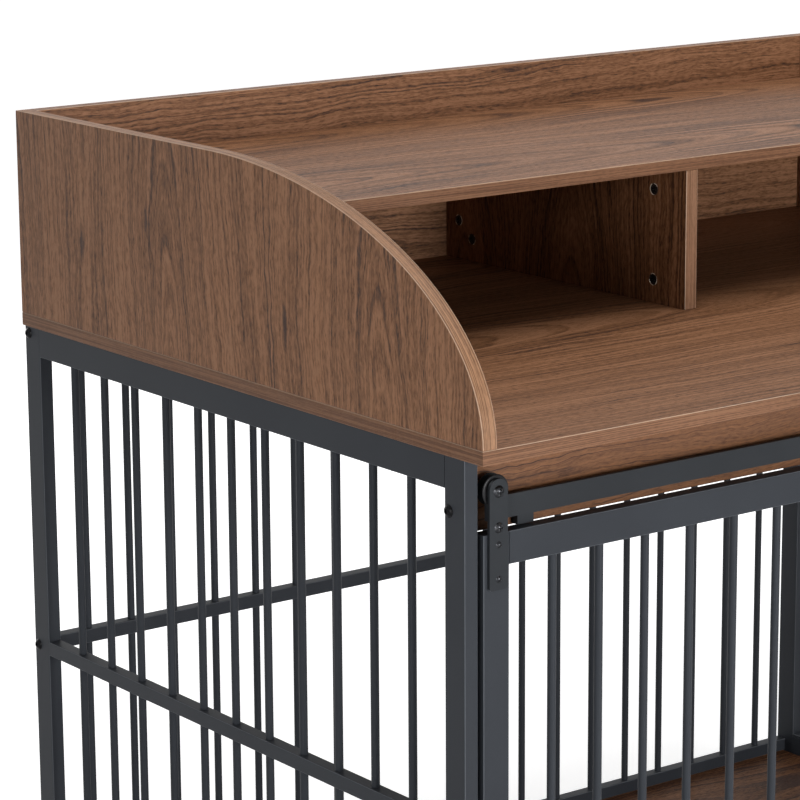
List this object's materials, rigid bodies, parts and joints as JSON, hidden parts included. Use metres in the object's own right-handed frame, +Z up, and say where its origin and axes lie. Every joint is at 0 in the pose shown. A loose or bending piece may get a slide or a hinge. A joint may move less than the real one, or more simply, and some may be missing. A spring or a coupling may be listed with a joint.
{
  "type": "dog crate end table",
  "caption": "Walnut desk with a raised shelf and curved side panels on a dark steel bar crate with a sliding front door on a track.",
  "frame": {"origin": "on the floor under the middle of the table's width and depth", "axes": "+X to the right along the width, +Y to the back, +Z up"},
  "size_m": [1.0972, 0.77, 0.94],
  "materials": {
    "walnut": "satin laminate",
    "charcoal_steel": "satin powder coat",
    "dark_zinc": "dark zinc",
    "black_plastic": "matte",
    "black_rubber": "matte"
  },
  "bodies": {
    "crate": {"apron": "walnut", "back_bottom_rail": "charcoal_steel", "back_lower_bars": "charcoal_steel", "back_middle_rail": "charcoal_steel", "back_panel": "walnut", "back_top_rail": "charcoal_steel", "back_upper_bars": "charcoal_steel", "cam_bolts": "dark_zinc", "cam_locks": "black_plastic", "desk_screws": "dark_zinc", "desktop": "walnut", "door_bumpers": "black_rubber", "door_guide": "charcoal_steel", "door_track": "charcoal_steel", "floor_board": "walnut", "floor_ledges": "charcoal_steel", "frame_bolts": "dark_zinc", "front_bottom_rail": "charcoal_steel", "front_center_post": "charcoal_steel", "grille_bars": "charcoal_steel", "grille_top_rail": "charcoal_steel", "latch_keeper": "charcoal_steel", "left_back_post": "charcoal_steel", "left_bottom_rail": "charcoal_steel", "left_front_post": "charcoal_steel", "left_lower_bars": "charcoal_steel", "left_middle_rail": "charcoal_steel", "left_side_panel": "walnut", "left_top_rail": "charcoal_steel", "left_upper_bars": "charcoal_steel", "panel_screws": "dark_zinc", "post_feet": "black_plastic", "right_back_post": "charcoal_steel", "right_bottom_rail": "charcoal_steel", "right_front_post": "charcoal_steel", "right_lower_bars": "charcoal_steel", "right_middle_rail": "charcoal_steel", "right_side_panel": "walnut", "right_top_rail": "charcoal_steel", "right_upper_bars": "charcoal_steel", "shelf_divider": "walnut", "track_blocks": "charcoal_steel", "track_screws": "dark_zinc", "upper_shelf": "walnut"},
    "door": {"door_left_stile": "charcoal_steel", "door_right_stile": "charcoal_steel", "door_top_rail": "charcoal_steel", "door_bottom_rail": "charcoal_steel", "door_bars": "charcoal_steel", "door_screws": "dark_zinc", "left_hanger_strap": "charcoal_steel", "right_hanger_strap": "charcoal_steel", "axle_screws": "dark_zinc", "roller_washers": "dark_zinc", "axle_nuts": "dark_zinc", "lift_stop_pins": "dark_zinc", "latch_plate": "charcoal_steel"},
    "left_wheel": {"left_roller": "black_plastic"},
    "right_wheel": {"right_roller": "black_plastic"},
    "foot_bolt": {"latch_bolt": "charcoal_steel"}
  },
  "joints": [
    {"name": "door_slide", "type": "slide", "parent": "crate", "child": "door", "axis": [1, 0, 0], "range_m": [0, 0.5084]},
    {"name": "left_wheel_spin", "type": "hinge", "parent": "door", "child": "left_wheel", "pos_m": [-0.51095, -0.3515, 0.68555], "axis": [0, 1, 0], "continuous": true},
    {"name": "right_wheel_spin", "type": "hinge", "parent": "door", "child": "right_wheel", "pos_m": [0.00255, -0.3515, 0.68555], "axis": [0, 1, 0], "continuous": true},
    {"name": "foot_bolt_slide", "type": "slide", "parent": "door", "child": "foot_bolt", "axis": [0, 0, -1], "range_m": [0, 0.009]}
  ],
  "couplings": [
    {"joint": "left_wheel_spin", "follows": "door_slide", "rad_per_m": 153.85},
    {"joint": "right_wheel_spin", "follows": "door_slide", "rad_per_m": 153.85}
  ]
}
